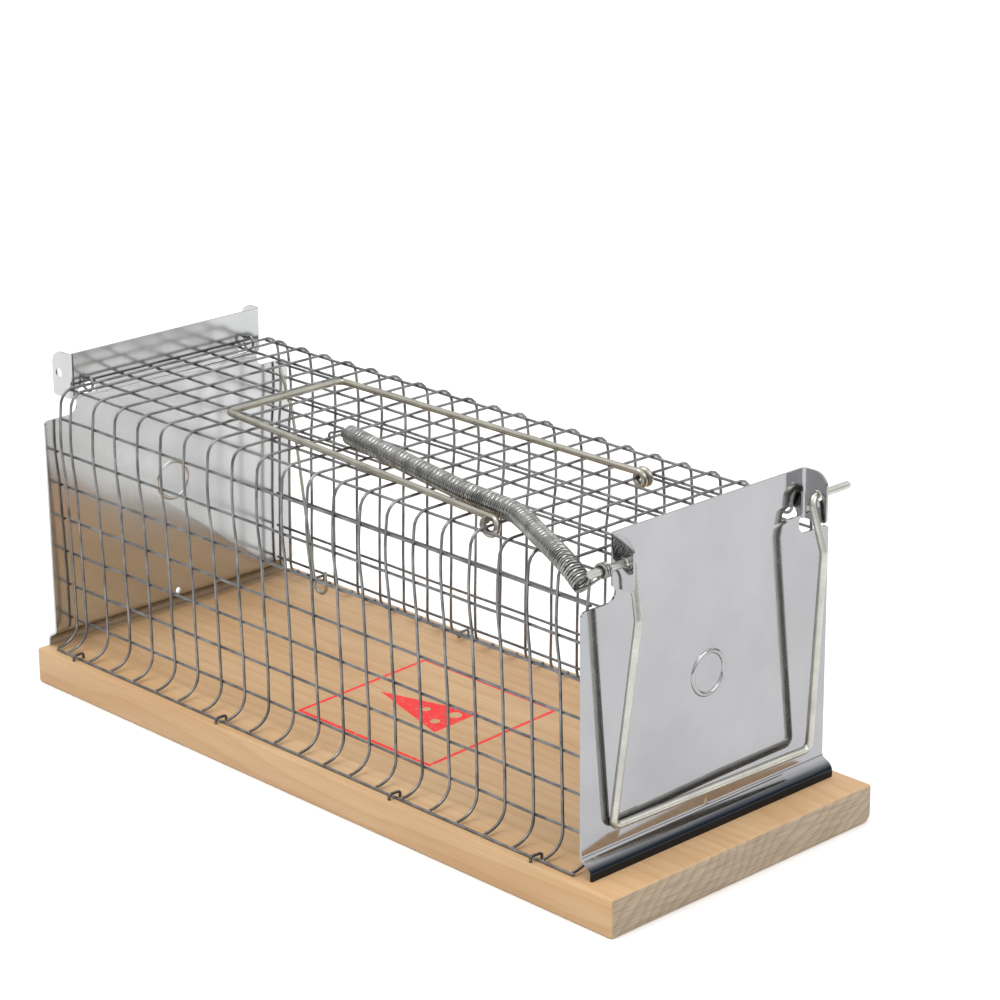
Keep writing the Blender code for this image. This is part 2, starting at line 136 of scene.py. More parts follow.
SPRING_HELD_X = FIRST_CROSS_X + 8 * PITCH       # the cross wire that its rear hook holds
SPRING_EYE_Y = -53.6 * MM
SPRING_EYE_R = 2.1 * MM

STAPLE_X = (-124.0 * MM, -44.0 * MM, 43.5 * MM, 108.0 * MM)
STAPLE_R = 0.5 * MM

# Printed panel on the board
PRINT_MIDDLE = (-2.1 * MM, 0.0)
PRINT_HALF = (32.6 * MM, 30.8 * MM)
PRINT_SLANT = 0.061
PRINT_LINE = 0.75 * MM               # half the width of the frame's line

# Camera
CAMERA_PLACE = (0.7283, -0.6641, 0.4276)
CAMERA_YAW, CAMERA_PITCH, CAMERA_ROLL = 0.8072, 0.3308, -0.0079     # in radians
CAMERA_LENS, CAMERA_SENSOR = 112.67, 36.0                           # in millimetres


# --- Making wire and sheet ---------------------------------------------------------------

def mesh_of(holder, weld=1e-6):
    """The evaluated shape of a curve or of a mesh with modifiers, welded and closed."""
    bpy.context.scene.collection.objects.link(holder)
    bpy.context.view_layer.update()
    shaped = holder.evaluated_get(bpy.context.evaluated_depsgraph_get())
    raw = bpy.data.meshes.new_from_object(shaped)
    name = holder.name
    bpy.data.objects.remove(holder, do_unlink=True)
    bm = bmesh.new()
    bm.from_mesh(raw)
    bpy.data.meshes.remove(raw)
    bmesh.ops.remove_doubles(bm, verts=bm.verts, dist=weld)
    return finished(name, bm)


def finished(name, bm, sharp=40):
    bmesh.ops.recalc_face_normals(bm, faces=bm.faces)
    mesh = bpy.data.meshes.new(name)
    bm.to_mesh(mesh)
    bm.free()
    mesh.shade_smooth()
    mesh.set_sharp_from_angle(angle=math.radians(sharp))
    return mesh


def wire_curve(name, runs, radius, roundness=4, closed=False):
    """Round wires, one along each run of points, in one curve."""
    curve = bpy.data.curves.new(name, "CURVE")
    curve.dimensions = "3D"
    curve.bevel_depth = radius
    curve.bevel_resolution = roundness
    curve.use_fill_caps = not closed
    for run in runs:
        spline = curve.splines.new("POLY")
        spline.points.add(len(run) - 1)
        for point, place in zip(spline.points, run):
            point.co = (*place, 1.0)
        spline.use_cyclic_u = closed
    return curve


def wire(name, runs, radius, roundness=4, closed=False):
    curve = wire_curve(name, runs, radius, roundness, closed)
    return mesh_of(bpy.data.objects.new(name, curve))


def rounded(points, radius, steps=8):
    """The same run of points with each corner turned into an arc."""
    points = [Vector(p) for p in points]
    run = [points[0]]
    for before, corner, after in zip(points, points[1:], points[2:]):
        back = (before - corner).normalized()
        ahead = (after - corner).normalized()
        half = back.angle(ahead) / 2
        centre = corner + (back + ahead).normalized() * radius / math.sin(half)
        reach = radius / math.tan(half)
        start = (corner + back * reach - centre).normalized()
        end = (corner + ahead * reach - centre).normalized()
        run += [centre + radius * start.slerp(end, i / steps) for i in range(steps + 1)]
    return run + [points[-1]]


def smooth_route(points, steps):
    """Points read from a smooth curve through a few given ones."""
    padded = [2 * points[0] - points[1], *points, 2 * points[-1] - points[-2]]
    run = []
    for a, b, c, d in zip(padded, padded[1:], padded[2:], padded[3:]):
        for i in range(steps):
            t = i / steps
            run.append(0.5 * (2 * b + (c - a) * t + (2 * a - 5 * b + 4 * c - d) * t * t
                              + (3 * b - a - 3 * c + d) * t ** 3))
    return run + [points[-1]]


def arc(centre, radius, start, end, steps):
    """Points on an arc in the plane, from one angle to another, in degrees."""
    run = []
    for i in range(steps + 1):
        angle = math.radians(start + (end - start) * i / steps)
        run.append((centre[0] + radius * math.cos(angle), centre[1] + radius * math.sin(angle)))
    return run


def piece(name, mesh, material, body, *nodes):
    """A finished piece, riding on its body in place of its CAD nodes."""
    made = bpy.data.objects.new(name, mesh)
    mesh.materials.clear()
    mesh.materials.append(material)
    bpy.context.scene.collection.objects.link(made)
    if body:
        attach(made, body)
    if nodes:
        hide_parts(*nodes)
    return made


def stray(place, amount=WAVER):
    """The small wander of a hand-formed wire, the same each time."""
    return noise.noise_vector(Vector(place) * 55.0) * amount


# --- Shader groups -----------------------------------------------------------------------

def new_group(name, inputs, outputs):
    group = bpy.data.node_groups.new(name, "ShaderNodeTree")
    for label, kind, value in inputs:
        socket = group.interface.new_socket(label, in_out="INPUT", socket_type=kind)
        if value is not None:
            socket.default_value = value
    for label, kind in outputs:
        group.interface.new_socket(label, in_out="OUTPUT", socket_type=kind)
    return group, group.nodes.new("NodeGroupInput"), group.nodes.new("NodeGroupOutput")


def node(tree, kind, links=None, **settings):
    """A node with its settings and its inputs: a value is set, a socket is linked."""
    made = tree.nodes.new(kind)
    for key, value in settings.items():
        setattr(made, key, value)
    for key, value in (links or {}).items():
        if isinstance(value, bpy.types.NodeSocket):
            tree.links.new(value, made.inputs[key])
        else:
            made.inputs[key].default_value = value
    return made


def maths(tree, operation, first, second=0.0, clamp=False):
    made = node(tree, "ShaderNodeMath", {0: first, 1: second}, operation=operation)
    made.use_clamp = clamp
    return made.outputs[0]


def stretched(tree, vector, scale):
    return node(tree, "ShaderNodeMapping", {"Vector": vector, "Scale": scale}).outputs[0]


def noise_value(tree, vector, scale, detail=2.0, roughness=0.5):
    made = node(tree, "ShaderNodeTexNoise", {"Vector": vector, "Scale": scale,
                                             "Detail": detail, "Roughness": roughness})
    return made.outputs["Fac"]


def ramp(tree, value, low, high, out_low=0.0, out_high=1.0):
    made = node(tree, "ShaderNodeMapRange", {"Value": value, "From Min": low, "From Max": high,
                                             "To Min": out_low, "To Max": out_high})
    return made.outputs[0]


def mix_colour(tree, factor, first, second, blend="MIX"):
    made = node(tree, "ShaderNodeMix", data_type="RGBA", blend_type=blend)
    for socket, value in ((0, factor), (6, first), (7, second)):
        if isinstance(value, bpy.types.NodeSocket):
            tree.links.new(value, made.inputs[socket])
        else:
            made.inputs[socket].default_value = value
    return made.outputs[2]


def zinc_group():
    """Cloudy zinc: a soft patchy tone, a fine speckle and small pits."""
    group, inside, out = new_group(
        "zinc surface",
        [("Patch Size", "NodeSocketFloat", 60.0), ("Dark", "NodeSocketColor", None),
         ("Light", "NodeSocketColor", None), ("Rough Low", "NodeSocketFloat", 0.2),
         ("Rough High", "NodeSocketFloat", 0.35)],
        [("Color", "NodeSocketColor"), ("Roughness", "NodeSocketFloat"),
         ("Height", "NodeSocketFloat")])
    where = node(group, "ShaderNodeTexCoord").outputs["Object"]
    cloud = noise_value(group, where, inside.outputs["Patch Size"], 4.0, 0.55)
    fine = noise_value(group, where, 2600.0, 3.0, 0.6)
    shade = maths(group, "ADD", maths(group, "MULTIPLY", cloud, 0.75),
                  maths(group, "MULTIPLY", fine, 0.25))
    spread = ramp(group, shade, 0.35, 0.65)
    group.links.new(mix_colour(group, spread, inside.outputs["Dark"], inside.outputs["Light"]),
                    out.inputs["Color"])
    rough = node(group, "ShaderNodeMapRange", {"Value": spread, "From Min": 1.0, "From Max": 0.0,
                                               "To Min": inside.outputs["Rough Low"],
                                               "To Max": inside.outputs["Rough High"]})
    group.links.new(rough.outputs[0], out.inputs["Roughness"])
    group.links.new(fine, out.inputs["Height"])
    return group


def grain_group():
    """Pine: growth rings round a heart outside the board, with fibres along its length."""
    group, inside, out = new_group(
        "pine grain",
        [("Heart Y", "NodeSocketFloat", 0.13), ("Heart Z", "NodeSocketFloat", -0.11),
         ("Ring Width", "NodeSocketFloat", 0.0042)],
        [("Late Wood", "NodeSocketFloat"), ("Fibre", "NodeSocketFloat"),
         ("Cloud", "NodeSocketFloat")])
    where = node(group, "ShaderNodeTexCoord").outputs["Object"]
    wander = noise_value(group, stretched(group, where, (5.0, 26.0, 26.0)), 1.0, 2.0)
    parts = node(group, "ShaderNodeSeparateXYZ", {0: where})
    across = maths(group, "SUBTRACT", parts.outputs["Y"], inside.outputs["Heart Y"])
    up = maths(group, "SUBTRACT", parts.outputs["Z"], inside.outputs["Heart Z"])
    square = maths(group, "ADD", maths(group, "MULTIPLY", across, across),
                   maths(group, "MULTIPLY", up, up))
    reach = maths(group, "ADD", maths(group, "SQRT", square),
                  maths(group, "MULTIPLY", wander, 0.022))
    turns = maths(group, "FRACT", maths(group, "DIVIDE", reach, inside.outputs["Ring Width"]))
    late = maths(group, "POWER", turns, 2.6)
    fade = ramp(group, turns, 0.9, 1.0, 1.0, 0.0)
    group.links.new(maths(group, "MULTIPLY", late, fade), out.inputs["Late Wood"])
    fibre = noise_value(group, stretched(group, where, (40.0, 1500.0, 1500.0)), 1.0, 3.0, 0.6)
    group.links.new(fibre, out.inputs["Fibre"])
    cloud = noise_value(group, stretched(group, where, (14.0, 60.0, 60.0)), 1.0, 3.0)
    group.links.new(cloud, out.inputs["Cloud"])
    return group


ZINC = zinc_group()
GRAIN = grain_group()


def new_material(name):
    made = bpy.data.materials.new(name)
    made.use_nodes = True
    return made, made.node_tree, made.node_tree.nodes["Principled BSDF"]


def metal(name, dark, light, rough, patch=60.0, bump=0.02):
    made, tree, shader = new_material(name)
    shader.inputs["Metallic"].default_value = 1.0
    zinc = node(tree, "ShaderNodeGroup", node_tree=ZINC)
    for key, value in (("Patch Size", patch), ("Dark", (*dark, 1.0)), ("Light", (*light, 1.0)),
                       ("Rough Low", rough[0]), ("Rough High", rough[1])):
        zinc.inputs[key].default_value = value
    tree.links.new(zinc.outputs["Color"], shader.inputs["Base Color"])
    tree.links.new(zinc.outputs["Roughness"], shader.inputs["Roughness"])
    relief = node(tree, "ShaderNodeBump", {"Strength": bump, "Distance": 0.0002,
                                           "Height": zinc.outputs["Height"]})
    tree.links.new(relief.outputs[0], shader.inputs["Normal"])
    return made


def door_zinc():
    """Bright sheet which darkens towards the rolled lip at its foot: a painted dark reflection on
    the lip.
    """
    made = metal("galvanised sheet with a painted lip reflection", (0.345, 0.345, 0.355), (0.40, 0.40, 0.41),
                 (0.05, 0.12), 30.0, 0.01)
    tree = made.node_tree
    shader = tree.nodes["Principled BSDF"]
    where = node(tree, "ShaderNodeTexCoord").outputs["Object"]
    height = node(tree, "ShaderNodeSeparateXYZ", {0: where}).outputs["Z"]
    # Painted dark reflection: below the lip's fold the colour is mixed to near black blue, and
    # streaks along the lip waver its edge.
    lip_reflection_streak = noise_value(tree, stretched(tree, where, (900.0, 14.0, 900.0)), 1.0, 3.0)
    height = maths(tree, "ADD", height, maths(tree, "MULTIPLY", lip_reflection_streak, 1.6 * MM))
    dark = ramp(tree, height, LIP_FOLD_Z - 0.8 * MM, LIP_FOLD_Z - 2.6 * MM)
    plain = shader.inputs["Base Color"].links[0].from_socket
    tree.links.new(mix_colour(tree, dark, plain, (0.028, 0.034, 0.044, 1.0)),
                   shader.inputs["Base Color"])
    return made


def half_plane(tree, x, y, towards, reach):
    """Positive past a straight line: a direction in degrees and its distance from zero."""
    angle = math.radians(towards)
    along = maths(tree, "ADD", maths(tree, "MULTIPLY", x, math.cos(angle)),
                  maths(tree, "MULTIPLY", y, math.sin(angle)))
    return maths(tree, "SUBTRACT", along, reach)


def spot(tree, x, y, middle, radius):
    """Positive inside a round spot."""
    dx = maths(tree, "SUBTRACT", x, middle[0])
    dy = maths(tree, "SUBTRACT", y, middle[1])
    apart = maths(tree, "SQRT", maths(tree, "ADD", maths(tree, "MULTIPLY", dx, dx),
                                      maths(tree, "MULTIPLY", dy, dy)))
    return maths(tree, "SUBTRACT", radius, apart)


def print_mask(tree, where):
    """A framed wedge of cheese with three holes, printed on the board's top."""
    parts = node(tree, "ShaderNodeSeparateXYZ", {0: where})
    y = maths(tree, "SUBTRACT", parts.outputs["Y"], PRINT_MIDDLE[1])
    x = maths(tree, "ADD", maths(tree, "SUBTRACT", parts.outputs["X"], PRINT_MIDDLE[0]),
              maths(tree, "MULTIPLY", parts.outputs["Y"], PRINT_SLANT))
    past = maths(tree, "MAXIMUM",
                 maths(tree, "SUBTRACT", maths(tree, "ABSOLUTE", x), PRINT_HALF[0]),
                 maths(tree, "SUBTRACT", maths(tree, "ABSOLUTE", y), PRINT_HALF[1]))
    border = maths(tree, "LESS_THAN", maths(tree, "ABSOLUTE", past), PRINT_LINE)
    wedge = half_plane(tree, x, y, 0, 15 * MM)
    for towards, reach in ((106, 6.6 * MM), (-106, 6.6 * MM)):
        wedge = maths(tree, "MAXIMUM", wedge, half_plane(tree, x, y, towards, reach))
    for middle, radius in (((10 * MM, 4 * MM), 2.4 * MM), ((8.5 * MM, -4.5 * MM), 1.8 * MM),
                           ((-1 * MM, 0.5 * MM), 1.6 * MM)):
        wedge = maths(tree, "MAXIMUM", wedge, spot(tree, x, y, middle, radius))
    solid = maths(tree, "LESS_THAN", wedge, 0.0)
    on_top = maths(tree, "GREATER_THAN", parts.outputs["Z"], BOARD_TOP - 0.05 * MM)
    patchy = ramp(tree, noise_value(tree, where, 900.0, 3.0), 0.24, 0.4)
    ink = maths(tree, "MULTIPLY", maths(tree, "MAXIMUM", border, solid), on_top)
    return maths(tree, "MULTIPLY", ink, patchy)


def pine():
    made, tree, shader = new_material("planed pine")
    grain = node(tree, "ShaderNodeGroup", node_tree=GRAIN)
    late, fibre, cloud = (grain.outputs[k] for k in ("Late Wood", "Fibre", "Cloud"))
    pale = mix_colour(tree, ramp(tree, cloud, 0.35, 0.65), (0.53, 0.33, 0.165, 1),
                      (0.59, 0.395, 0.215, 1))
    colour = mix_colour(tree, maths(tree, "MULTIPLY", late, 0.5), pale, (0.47, 0.25, 0.105, 1))
    colour = mix_colour(tree, ramp(tree, fibre, 0.35, 0.75, 0.0, 0.3), colour,
                        (0.41, 0.23, 0.105, 1))
    facing = node(tree, "ShaderNodeNewGeometry").outputs["True Normal"]
    end = maths(tree, "ABSOLUTE", node(tree, "ShaderNodeSeparateXYZ", {0: facing}).outputs["X"])
    end = ramp(tree, end, 0.6, 0.9)
    where = node(tree, "ShaderNodeTexCoord").outputs["Object"]
    slant = node(tree, "ShaderNodeMapping", {"Vector": where, "Rotation": (0.3, 0.0, 0.0),
                                             "Scale": (1.0, 70.0, 1100.0)}).outputs[0]
    scored = noise_value(tree, slant, 1.0, 3.0, 0.6)
    sawn = mix_colour(tree, maths(tree, "MULTIPLY", late, 0.7), (0.37, 0.29, 0.20, 1),
                      (0.22, 0.16, 0.10, 1))
    sawn = mix_colour(tree, ramp(tree, scored, 0.4, 0.7, 0.0, 0.6), sawn, (0.17, 0.12, 0.08, 1))
    colour = mix_colour(tree, end, colour, sawn)
    ink = print_mask(tree, where)
    colour = mix_colour(tree, ink, colour, (0.82, 0.018, 0.02, 1))
    tree.links.new(colour, shader.inputs["Base Color"])
    rough = ramp(tree, fibre, 0.3, 0.7, 0.5, 0.68)
    tree.links.new(rough, shader.inputs["Roughness"])
    relief = node(tree, "ShaderNodeBump", {"Strength": 0.35, "Distance": 0.0003,
                                           "Height": maths(tree, "ADD", fibre, late)})
    tree.links.new(relief.outputs[0], shader.inputs["Normal"])
    return made


MESH_ZINC = metal("galvanised mesh wire", (0.11, 0.112, 0.115), (0.29, 0.292, 0.295), (0.26, 0.4),
                  160.0, 0.2)
DOOR_ZINC = door_zinc()
# The rear door is the same stamping as the front, given a lighter copy of the sheet colour:
# painted light for the brighter reflections on it.
REAR_ZINC_PAINTED_LIGHTER = metal("galvanised sheet", (0.46, 0.47, 0.465), (0.535, 0.54, 0.535), (0.13, 0.2),
                  30.0, 0.01)
BAIL_NICKEL = metal("bail wire", (0.43, 0.425, 0.385), (0.55, 0.545, 0.495), (0.24, 0.34),
                    150.0, 0.1)
FRAME_NICKEL = metal("release wire", (0.30, 0.285, 0.24), (0.42, 0.405, 0.35), (0.28, 0.4),
                     150.0, 0.1)
SPRING_WIRE = metal("spring wire", (0.15, 0.15, 0.145), (0.36, 0.36, 0.345), (0.2, 0.32), 200.0,
                    0.1)
STAPLE_WIRE = metal("staple wire", (0.05, 0.05, 0.05), (0.22, 0.22, 0.22), (0.28, 0.42), 200.0,
                    0.2)
PINE = pine()


# --- Board and staples -------------------------------------------------------------------

def make_board():
    """A planed board with eased edges; one long lower edge is rounded more."""
    bm = bmesh.new()
    bmesh.ops.create_cube(bm, size=1.0)
    bmesh.ops.scale(bm, vec=BOARD_HIGH - BOARD_LOW, verts=bm.verts)
    bmesh.ops.translate(bm, vec=(BOARD_HIGH + BOARD_LOW) / 2, verts=bm.verts)

    def ease(chosen, size, steps):
        bmesh.ops.bevel(bm, geom=chosen, offset=size, segments=steps, profile=0.5,
                        affect="EDGES", material=-1)

    low_right = [e for e in bm.edges if all(v.co.y > 0 and v.co.z < 1 * MM for v in e.verts)]
    ease(low_right, 3.2 * MM, 6)
    sharp = [e for e in bm.edges if len(e.link_faces) == 2 and e.calc_face_angle() > 1.0]
    ease(sharp, 0.9 * MM, 3)
    board = piece("pine_board", finished("pine_board", bm, 30), PINE, "cage", "base_board")


def section(s, out):
    """Where the bent sheet is, s along its section from the middle of the top.

    The side walls bulge a little under the top bend and draw in above the flare.
    """
    side = math.copysign(1.0, s)
    s = abs(s)
    flat = SIDE_Y - TOP_BEND
    bend = TOP_BEND * math.pi / 2
    wall = CAGE_TOP - TOP_BEND - (FLARE_Z + FLARE)
    if s <= flat:
        return side * s, CAGE_TOP + out
    if s <= flat + bend:
        angle = (s - flat) / TOP_BEND
        return (side * (flat + (TOP_BEND + out) * math.sin(angle)),
                CAGE_TOP - TOP_BEND + (TOP_BEND + out) * math.cos(angle))
    if s <= flat + bend + wall:
        down = (s - flat - bend) / wall
        bow = BULGE * math.sin(math.pi * min(down * 3, 1)) - DRAW_IN * down * down * (3 - 2 * down)
        return side * (SIDE_Y + out + bow), CAGE_TOP - TOP_BEND - (s - flat - bend)
    angle = min((s - flat - bend - wall) / FLARE, math.pi / 2)
    spread = FLARE + DRAW_IN
    return (side * (SIDE_Y + FLARE - (spread - out) * math.cos(angle)),
            FLARE_Z + FLARE - (FLARE - out) * math.sin(angle))


def cross_xs():
    return [END_WIRE_X] + [FIRST_CROSS_X + i * PITCH for i in range(CROSS_WIRES)]


def wire_stations():
    return [(i - WIRES_PER_HALF + 0.5) * PITCH for i in range(2 * WIRES_PER_HALF)]


def make_cage():
    """One welded sheet: cross wires bent over the lengthwise ones, with a weld where they meet."""
    half = (WIRES_PER_HALF - 0.5) * PITCH + 0.5 * MM
    steps, long_steps = 150, 60
    runs = []
    for x in cross_xs():
        run = []
        for i in range(steps + 1):
            y, z = section(half * (2 * i / steps - 1), OVER)
            place = Vector((x, y, z))
            run.append(place + stray(place) * Vector((1.0, 0.35, 0.35)))
        runs.append(run)
    low, high = END_WIRE_X - 0.5 * MM, FRONT_WIRE_X + 0.5 * MM
    for s in wire_stations():
        y, z = section(s, UNDER)
        run = []
        for i in range(long_steps + 1):
            place = Vector((low + (high - low) * i / long_steps, y, z))
            run.append(place + stray(place) * Vector((0.0, 0.5, 0.5)))
        runs.append(run)
    curve = wire_curve("welded_mesh", runs, WIRE_R, 2)
    bm = bmesh.new()
    bm.from_mesh(mesh_of(bpy.data.objects.new("welded_mesh", curve)))
    for x in cross_xs():
        for s in wire_stations():
            y, z = section(s, (OVER + UNDER) / 2)
            bead = bmesh.ops.create_icosphere(bm, subdivisions=1, radius=BEAD_R)
            bmesh.ops.translate(bm, vec=Vector((x, y, z)) + stray((x, y, z), WAVER / 2),
                                verts=bead["verts"])
    sheet = piece("welded_mesh", finished("welded_mesh", bm, 60), MESH_ZINC, "cage",
                  "cage_mesh_top", "cage_mesh_left", "cage_mesh_right")


def make_staples():
    """Eight staples over the lowest wires, each a little out of square."""
    edge_y, edge_z = section((WIRES_PER_HALF - 0.5) * PITCH, UNDER)
    half = 2.2 * MM
    crown = edge_z + WIRE_R + 2.1 * STAPLE_R
    for side, sign in (("left", -1), ("right", 1)):
        for number, x in enumerate(STAPLE_X, 1):
            name = f"staple_{side}_{number}"
            y = sign * edge_y
            skew = 0.5 * MM * math.sin(7 * number + sign)
            run = rounded([(x, y - half, BOARD_TOP - 1 * MM), (x, y - half, crown),
                           (x + skew, y + half, crown), (x + skew, y + half, BOARD_TOP - 1 * MM)],
                          0.9 * MM, 5)
            mesh = wire(name, [run], STAPLE_R, 3)
            staple = piece(f"wire_{name}", mesh, STAPLE_WIRE, "cage", name)


# --- Doors -------------------------------------------------------------------------------

def blank_outline():
    """The flat blank, as (across, up): plate, shoulders, strip, ear flaps and lip flap."""
    bottom = LIP_FOLD_Z - LIP_FLAP
    ear = EAR_FOLD_Y + EAR_FLAP
    half = arc((DOOR_HALF - 0.6 * MM, bottom + 0.6 * MM), 0.6 * MM, -90, 0, 3)
    half += arc((DOOR_HALF - 1.6 * MM, SHOULDER_Z - 1.6 * MM), 1.6 * MM, 0, 90, 5)
    half += arc((NOTCH_Y, SHOULDER_Z + NOTCH_R), NOTCH_R, -90, -175, 8)
    half += [(EAR_FOLD_Y - 0.4 * MM, EAR_BOTTOM_Z - 0.5 * MM),
             (EAR_FOLD_Y + 0.2 * MM, EAR_BOTTOM_Z)]
    half += arc((ear - 1.2 * MM, EAR_BOTTOM_Z + 1.2 * MM), 1.2 * MM, -90, 0, 4)
    half += arc((ear - 5 * MM, STRIP_TOP_Z - 5 * MM), 5 * MM, 0, 90, 8)
    return half + [(-u, v) for u, v in reversed(half)]


def blank_holes():
    """Trunnion holes in the ears, half-round windows for the hanging rings and a lip hole."""
    trunnion = EAR_FOLD_Y + EAR_FOLD_R * math.pi / 2 + (BAIL_X - DOOR_X - EAR_FOLD_R)
    holes = [arc((0, LIP_FOLD_Z + 0.6 * MM), 1.1 * MM, 0, 330, 11)]
    for side in (-1, 1):
        holes.append(arc((side * trunnion, BAIL_Z), BAIL_R + 0.45 * MM, 0, 345, 23))
        holes.append(arc((side * WINDOW_Y, WINDOW_Z), WINDOW_R, 0, 180, 14))
    return holes


def flat_blank(name):
    """The blank before it is bent, lying in the plane of the plate."""
    curve = bpy.data.curves.new(name, "CURVE")
    curve.dimensions = "2D"
    curve.fill_mode = "BOTH"
    for outline in [blank_outline()] + blank_holes():
        spline = curve.splines.new("POLY")
        spline.points.add(len(outline) - 1)
        for point, (u, v) in zip(spline.points, outline):
            point.co = (u, v, 0.0, 1.0)
        spline.use_cyclic_u = True
    mesh = mesh_of(bpy.data.objects.new(name, curve))
    mesh.transform(Matrix(((0, 0, 1, DOOR_X), (1, 0, 0, 0), (0, 1, 0, 0), (0, 0, 0, 1))))
    return mesh


def crease(bm, place, direction, spread, cuts):
    """Cuts across the blank, so that it can bend there."""
    for i in range(cuts + 1):
        bmesh.ops.bisect_plane(bm, geom=bm.verts[:] + bm.edges[:] + bm.faces[:], dist=1e-7,
                               plane_co=place + direction * spread * i / cuts,
                               plane_no=direction)


def fold(bm, flat, chosen, place, direction, towards, radius, angle):
    """Bends the sheet past a line at place, along direction, turning towards one side."""
    length = radius * angle
    axis = direction.cross(towards)
    centre = place + towards * radius
    for vert in chosen:
        past = (flat[vert] - place).dot(direction)
        if past <= 0:
            continue
        taken = min(past, length)
        moved = vert.co - direction * taken
        turn = Matrix.Rotation(taken / radius, 3, axis)
        vert.co = centre + turn @ (moved - centre)


def bend_blank(bm):
    """Bends the ears forward and rolls the lip out and down onto the board."""
    forward, down = Vector((1, 0, 0)), Vector((0, 0, -1))
    lip_out, lip_down = math.radians(62), math.radians(66)
    out_r, down_r = 1.6 * MM, 3.4 * MM
    first = Vector((DOOR_X, 0, LIP_FOLD_Z))
    second = first + down * (out_r * lip_out + 2.0 * MM)
    crease(bm, first, down, out_r * lip_out, 5)
    crease(bm, second, down, down_r * lip_down, 8)
    ear_length = EAR_FOLD_R * math.pi / 2
    for side in (-1, 1):
        out = Vector((0, side, 0))
        crease(bm, Vector((DOOR_X, side * EAR_FOLD_Y, 0)), out, ear_length, 5)
    flat = {vert: vert.co.copy() for vert in bm.verts}
    ears = [v for v in bm.verts if v.co.z > EAR_BOTTOM_Z - 0.3 * MM]
    for side in (-1, 1):
        out = Vector((0, side, 0))
        fold(bm, flat, ears, Vector((DOOR_X, side * EAR_FOLD_Y, 0)), out, forward, EAR_FOLD_R,
             math.pi / 2)
    lip = [v for v in bm.verts if v.co.z < LIP_FOLD_Z + 1 * MM]
    fold(bm, flat, lip, second, down, -forward, down_r, lip_down)
    fold(bm, flat, lip, first, down, forward, out_r, lip_out)


def door_sheet(name):
    """The finished stamping at the front end."""
    bm = bmesh.new()
    bm.from_mesh(flat_blank(name))
    bend_blank(bm)
    bmesh.ops.recalc_face_normals(bm, faces=bm.faces)
    plate = max(bm.faces, key=lambda face: face.calc_area())
    if plate.normal.x < 0:
        bmesh.ops.reverse_faces(bm, faces=bm.faces)
    for vert in bm.verts:
        vert.normal_update()
    bmesh.ops.solidify(bm, geom=bm.faces[:], thickness=SHEET)
    shift = Vector((SHEET / 2, 0, 0))
    bmesh.ops.translate(bm, vec=shift, verts=bm.verts)
    return finished(name, bm, 35)


def pressing(name):
    """A ring pressed into the plate, seen on both of its faces."""
    ring = [(DOOR_X + 0.1 * MM, u, PRESSING_Z + v)
            for u, v in arc((0, 0), PRESSING_R, 0, 352.5, 47)]
    return wire(name, [ring], PRESSING_BEAD_R, 4, closed=True)


def hanging_ring(side):
    """A ring of wire, closed with a short overlap, through the window and round the end wire."""
    run = []
    turns = 1.3
    steps = 40
    for i in range(steps + 1):
        angle = math.tau * turns * i / steps
        run.append((FRONT_WIRE_X + 0.3 * MM + HANGING_RING_R * math.cos(angle),
                    side * HANGING_RING_Y + HANGING_RING_LAP * i / steps,
                    CAGE_TOP + 0.4 * MM + HANGING_RING_R * math.sin(angle)))
    return run


def make_door(name, body, at_rear):
    turn = Matrix.Identity(4)
    if at_rear:
        turn = (Matrix.Translation((END_WIRE_X + FRONT_WIRE_X, 0, 0))
                @ Matrix.Rotation(math.pi, 4, "Z"))
    bm = bmesh.new()
    bm.from_mesh(door_sheet(name))
    bm.from_mesh(pressing(name))
    plate = finished(f"{name}_stamping", bm, 35)
    plate.transform(turn)
    zinc = REAR_ZINC_PAINTED_LIGHTER if at_rear else DOOR_ZINC
    piece(f"{name}_stamping", plate, zinc, body, name)
    for side, label in ((-1, "left"), (1, "right")):
        if at_rear:
            label = {"left": "right", "right": "left"}[label]
        ring = wire(f"{name}_hanging_ring_{label}", [hanging_ring(side)], WIRE_R, 3)
        ring.transform(turn)
        hung = piece(ring.name, ring, MESH_ZINC, body, f"{name}_ring_{label}")


# --- Bail, spring, release frame and hook ------------------------------------------------

def make_bail():
    bow_x, bow_y, bow_z = BAIL_BOW
    run = rounded([(BAIL_X, -BAIL_END_Y, BAIL_Z), (BAIL_X, -BAIL_TOP_HALF, BAIL_Z),
                   (bow_x, -bow_y, bow_z), (BAIL_LEFT_X, -BAIL_BOTTOM_HALF, BAIL_BOTTOM_Z),
                   (BAIL_RIGHT_X, BAIL_BOTTOM_HALF, BAIL_BOTTOM_Z), (bow_x, bow_y, bow_z),
                   (BAIL_X, BAIL_TOP_HALF, BAIL_Z), (BAIL_X, BAIL_END_Y, BAIL_Z)], 2.6 * MM, 10)
    bail = piece("bail_wire", wire("bail_wire", [run], BAIL_R, 6), BAIL_NICKEL, "closing_bail",
                 "closing_bail")


def helix(route, radius, pitch, steps=16):
    """A helix that follows a route, with its turns worked out from the route's length."""
    lengths = [0.0]
    for a, b in zip(route, route[1:]):
        lengths.append(lengths[-1] + (b - a).length)
    count = round(lengths[-1] / pitch * steps)
    run = []
    leg = 0
    for i in range(count + 1):
        reach = lengths[-1] * i / count
        while leg < len(route) - 2 and reach > lengths[leg + 1]:
            leg += 1
        along = (route[leg + 1] - route[leg]).normalized()
        centre = route[leg] + along * (reach - lengths[leg])
        side = along.cross(Vector((0, 0, 1))).normalized()
        over = side.cross(along)
        angle = math.tau * i / steps
        run.append(centre + (side * math.cos(angle) + over * math.sin(angle)) * radius)
    return run


